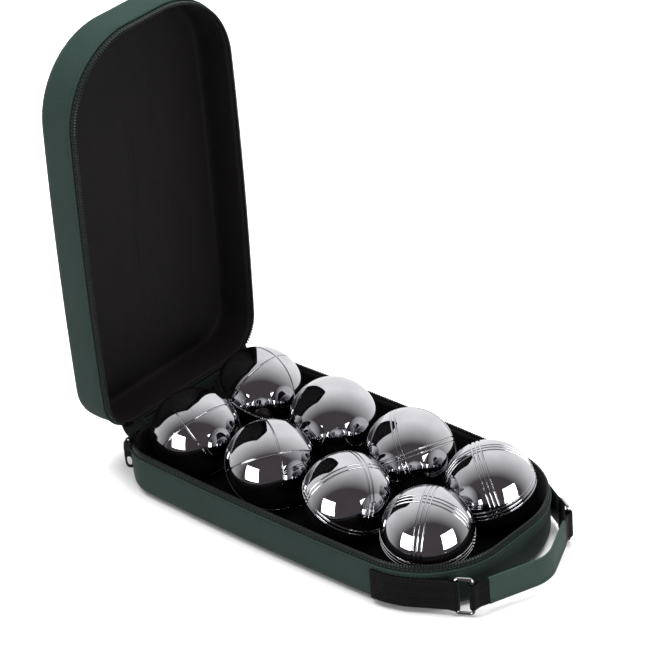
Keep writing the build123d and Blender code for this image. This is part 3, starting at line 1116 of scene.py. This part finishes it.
    def strap(self) -> tuple[bpy.types.Object, list[list[tuple[Vector, Vector]]]]:
        """The green strap: nylon over foam, hemmed at both edges and folded once by its load.

        Returns:
            The strap, and the rows that its stitching follows.
        """
        size = self.size
        near = self.outer_bar
        far = Vector((near.x, -near.y, 0))
        go, back = (self.bend - near).normalized(), (far - self.bend).normalized()
        turn = atan2(go.x * back.y - go.y * back.x, go.dot(back))
        tangent = size.bend_radius * abs(sin(turn / 2) / cos(turn / 2))
        start, stop = near + go * (size.strap_end - 2 * MM), far - back * (size.strap_end - 2 * MM)
        knee = self.bend - go * tangent
        line = [start.lerp(knee, i / 12) for i in range(12)]
        centre = knee + Vector((-go.y, go.x, 0)) * size.bend_radius
        spoke = knee - centre
        for i in range(13):
            angle = turn * i / 12
            line.append(centre + Matrix.Rotation(angle, 3, "Z") @ spoke)
        line += [line[-1].lerp(stop, i / 12) for i in range(1, 13)]
        path = with_normals(line)
        half, thick = size.strap_half, size.strap_thickness / 2
        face = []
        for i in range(25):
            up = -1 + 2 * i / 24
            hem = 0.25 * MM if abs(up) > 0.72 else 0.0
            dip = 0.25 * MM if 0.62 < abs(up) <= 0.72 else 0.0
            edge = min(1.0, (1 - abs(up)) * 7 + 0.35)
            face.append((edge * (thick + hem - dip), up * half))
        section = face + [(-out, up) for out, up in reversed(face)]
        piece = sweep("carry_strap", path, section, self._placer(1))
        rows = []
        for side in (1, -1):
            for up in (-half * 0.8, half * 0.8):
                level, off = Vector((0, 0, up)), side * (thick + 0.3 * MM)
                rows.append([(p + n * off + level, n * side) for p, n in path])
        return piece, rows


# ---------------------------------------------------------------- the boules


@dataclass(frozen=True)
class Grooving:
    """A boule's turned lines: how many in each of three square bands, and how it lies."""

    node: str
    lines: int
    turn: tuple[float, float, float]


GROOVINGS = (
    Grooving("boule_near_1", 1, (168, 54, 51)),
    Grooving("boule_near_2", 1, (150, 36, 39)),
    Grooving("boule_near_3", 2, (124, 57, 41)),
    Grooving("boule_near_4", 3, (-101, 64, -69)),
    Grooving("boule_far_1", 1, (172, 68, -7)),
    Grooving("boule_far_2", 0, (0, 0, 0)),
    Grooving("boule_far_3", 2, (-14, -33, -59)),
    Grooving("boule_far_4", 3, (-70, 41, -103)),
)


class Boules:
    """Chromed steel boules with grooves turned into them."""

    groove = 0.85 * MM
    spacing = 3.4 * MM

    def __init__(self, finishes: Finishes) -> None:
        """Hold the materials and start with no blanks turned."""
        self.finishes = finishes
        self.blanks: dict[int, bpy.types.Mesh] = {}

    def build(self) -> None:
        """Set every boule in its seat."""
        for grooving in GROOVINGS:
            low, high = (Vector(c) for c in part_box(grooving.node))
            radius = (high.x - low.x) / 2
            mesh = self.blank(grooving.lines, radius).copy()
            turn = Matrix.Identity(4)
            for angle, axis in zip(grooving.turn, "XYZ"):
                turn = turn @ Matrix.Rotation(radians(angle), 4, axis)
            mesh.transform(Matrix.Translation((low + high) / 2) @ turn)
            piece = bpy.data.objects.new(f"{grooving.node}_steel", mesh)
            bpy.context.scene.collection.objects.link(piece)
            dress(piece, self.finishes.chrome)
            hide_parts(grooving.node)
            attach(piece, f"{grooving.node}_body")

    def _cores(self, lines: int, radius: float) -> list[tuple[Vector, float, float]]:
        """Axis, offset and radius of every groove's middle circle."""
        cores = []
        for axis in (Vector((1, 0, 0)), Vector((0, 1, 0)), Vector((0, 0, 1))):
            for i in range(lines):
                offset = (i - (lines - 1) / 2) * self.spacing
                cores.append((axis, offset, sqrt(radius**2 - offset**2)))
        return cores

    def blank(self, lines: int, radius: float) -> bpy.types.Mesh:
        """A boule centred on the origin, turned once and then kept.

        Args:
            lines: grooves in each band.
            radius: the boule's radius.

        Returns:
            Its mesh.
        """
        if lines in self.blanks:
            return self.blanks[lines]
        deselect_all()
        bpy.ops.mesh.primitive_uv_sphere_add(segments=144, ring_count=72, radius=radius)
        ball = bpy.context.object
        cores = self._cores(lines, radius)
        for axis, offset, reach in cores:
            deselect_all()
            bpy.ops.mesh.primitive_torus_add(
                major_segments=144, minor_segments=12, major_radius=reach, minor_radius=self.groove
            )
            tool = bpy.context.object
            turn = Vector((0, 0, 1)).rotation_difference(axis).to_matrix().to_4x4()
            tool.data.transform(Matrix.Translation(axis * offset) @ turn)
            pick(ball)
            cut = ball.modifiers.new("groove", "BOOLEAN")
            cut.operation, cut.object, cut.solver = "DIFFERENCE", tool, "MANIFOLD"
            bpy.ops.object.modifier_apply(modifier=cut.name)
            bpy.data.objects.remove(tool)
        mesh = ball.data
        bpy.data.objects.remove(ball)
        for face in mesh.polygons:
            face.use_smooth = True
        mesh.normals_split_custom_set(self._normals(mesh, cores, radius))
        self.blanks[lines] = mesh
        LOG.info("boule with %d lines a band: %d faces", lines, len(mesh.polygons))
        return mesh

    def _normals(
        self, mesh: bpy.types.Mesh, cores: list[tuple[Vector, float, float]], radius: float
    ) -> list[Vector]:
        """The true direction of the turned surface at each corner of each face."""
        normals = []
        for face in mesh.polygons:
            corners = [mesh.vertices[mesh.loops[i].vertex_index].co for i in face.loop_indices]
            if not cores or min(c.length for c in corners) > radius - 0.02 * MM:
                normals += [c.normalized() for c in corners]
                continue
            middle = sum(corners, Vector()) / len(corners)
            hit = min(cores, key=lambda core: abs(self._to_core(middle, core).length - self.groove))
            normals += [self._to_core(c, hit).normalized() for c in corners]
        return normals

    def _to_core(self, point: Vector, core: tuple[Vector, float, float]) -> Vector:
        """From a point to the nearest place on a groove's middle circle."""
        axis, offset, reach = core
        level = point - axis * point.dot(axis)
        return axis * offset + level.normalized() * reach - point


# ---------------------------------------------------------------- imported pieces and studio


def dress_packed(finishes: Finishes) -> None:
    """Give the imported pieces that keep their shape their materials."""
    for node, material, slot in (
        ("ball_tray", finishes.foam, "black_foam"),
        ("base_board", finishes.board, "board"),
        ("lid_board", finishes.board, "board"),
        ("jack", finishes.wood, "wood"),
        ("ring_near", finishes.wire, "ring_steel"),
        ("ring_far", finishes.wire, "ring_steel"),
        ("zip_slider", finishes.slider, "dark_metal"),
        ("zip_stops_base", finishes.slider, "dark_metal"),
        ("zip_stops_lid", finishes.slider, "dark_metal"),
    ):
        dress(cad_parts[node], material)


@dataclass(frozen=True)
class View:
    """Where the camera stands and what it looks at, about the case's own origin."""

    azimuth: float = 43.272
    elevation: float = 31.096
    roll: float = -4.458
    distance: float = 2.7118
    target: tuple[float, float, float] = (-0.14705, 0.14478, 0.0418)
    lens_mm: float = 179.0289


class Studio:
    """A white floor, a wide light above, two square lights in front and one camera."""

    def __init__(self, view: View, origin: Vector) -> None:
        """Hold the view and find the camera's directions."""
        self.view = view
        self.target = Vector(view.target) + origin
        turn, rise = radians(view.azimuth), radians(view.elevation)
        self.back = Vector((sin(turn) * cos(rise), -cos(turn) * cos(rise), sin(rise)))
        self.right = (-self.back).cross(Vector((0, 0, 1))).normalized()
        self.up = self.right.cross(-self.back)

    def build(self) -> None:
        """Set up floor, lights, world and camera."""
        self.floor()
        self.world()
        self.camera()
        level = Vector((self.back.x, self.back.y, 0)).normalized()
        above = Vector((0, 0, 1))
        self.light("overhead", above * 2.0 - level * 0.2, 2.2, 105).visible_glossy = False
        self.light("front_left", level * 1.25 - self.right * 1.15 + above * 0.12, 0.9, 16)
        self.light("front_right", level * 1.25 + self.right * 1.15 + above * 0.12, 0.9, 16)

    def floor(self) -> None:
        """A seamless white sweep under the case."""
        deselect_all()
        bpy.ops.mesh.primitive_plane_add(size=14)
        floor = bpy.context.object
        floor.name = "floor"
        floor.data.transform(Matrix.Translation((0, 0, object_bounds()[0][2])))
        material, _, shader = new_material("white_paper")
        shader.inputs["Base Color"].default_value = linear("#F7F7F7")
        shader.inputs["Roughness"].default_value = 0.9
        dress(floor, material)
        floor.visible_glossy = False
        floor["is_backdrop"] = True

    def world(self) -> None:
        """A dim room behind the camera and a bright backdrop, for the steel to mirror."""
        world = bpy.data.worlds.new("studio")
        bpy.context.scene.world = world
        world.use_nodes = True
        tree = world.node_tree
        place = add_node(tree, "ShaderNodeTexCoord").outputs["Generated"]
        level = Vector((self.back.x, self.back.y, 0)).normalized()
        towards = level - Vector((0, 0, 0.25))
        facing = add_node(
            tree, "ShaderNodeVectorMath", {0: place}, operation="DOT_PRODUCT", in_1=towards
        )
        span = add_node(
            tree,
            "ShaderNodeMapRange",
            {"Value": facing.outputs["Value"]},
            in_From_Min=-0.75,
            in_From_Max=0.35,
        )
        ramp = add_node(tree, "ShaderNodeValToRGB", {"Fac": span.outputs["Result"]})
        ramp.color_ramp.elements[0].color = linear("#FAFAFA")
        ramp.color_ramp.elements[1].color = linear("#4A4547")
        ground = tree.nodes["Background"]
        tree.links.new(ramp.outputs["Color"], ground.inputs["Color"])
        ground.inputs["Strength"].default_value = 1.2

    def light(self, name: str, place: Vector, size: float, power: float) -> bpy.types.Object:
        """Hang a square light that faces the case.

        Args:
            name: the light's name.
            place: where it hangs, from the target.
            size: length of its side, in metres.
            power: watts.

        Returns:
            The light's object.
        """
        lamp = bpy.data.lights.new(name, "AREA")
        lamp.shape, lamp.size, lamp.energy = "SQUARE", size, power
        stand = bpy.data.objects.new(name, lamp)
        bpy.context.scene.collection.objects.link(stand)
        stand.location = self.target + place
        stand.rotation_euler = (-place).to_track_quat("-Z", "Y").to_euler()
        return stand

    def camera(self) -> None:
        """Stand the camera at the view, rolled a little."""
        lens = bpy.data.cameras.new("camera")
        lens.sensor_width = 36
        lens.lens = self.view.lens_mm
        stand = bpy.data.objects.new("camera", lens)
        bpy.context.scene.collection.objects.link(stand)
        roll = radians(self.view.roll)
        right = self.right * cos(roll) + self.up * sin(roll)
        up = self.up * cos(roll) - self.right * sin(roll)
        matrix = Matrix((right, up, self.back)).transposed().to_4x4()
        matrix.translation = self.target + self.back * self.view.distance
        stand.matrix_world = matrix
        bpy.context.scene.camera = stand
        bpy.context.scene.view_settings.view_transform = "Standard"


def main() -> None:
    """Build the set in order."""
    logging.basicConfig(level=logging.INFO, format="%(message)s")
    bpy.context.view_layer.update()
    finishes = Finishes()
    outline = Outline(CaseSize())
    size, origin = outline.size, outline.origin
    hinge = -outline.length / 2 - size.hinge_beyond
    CaseHalf("base", outline, finishes, lambda p: p + origin, 0.0).build()
    CaseHalf(
        "lid",
        outline,
        finishes,
        lambda p: Vector((hinge - size.parting + p.z, p.y, size.parting + p.x - hinge)) + origin,
        3.0 * MM,
    ).build()
    HingeCloth(outline, finishes).build()
    Handle(outline, finishes, HandleSize()).build()
    ZipPull(finishes, PULL_FACES).build()
    Boules(finishes).build()
    dress_packed(finishes)
    Studio(View(), origin).build()


if __name__ == "__main__":
    main()
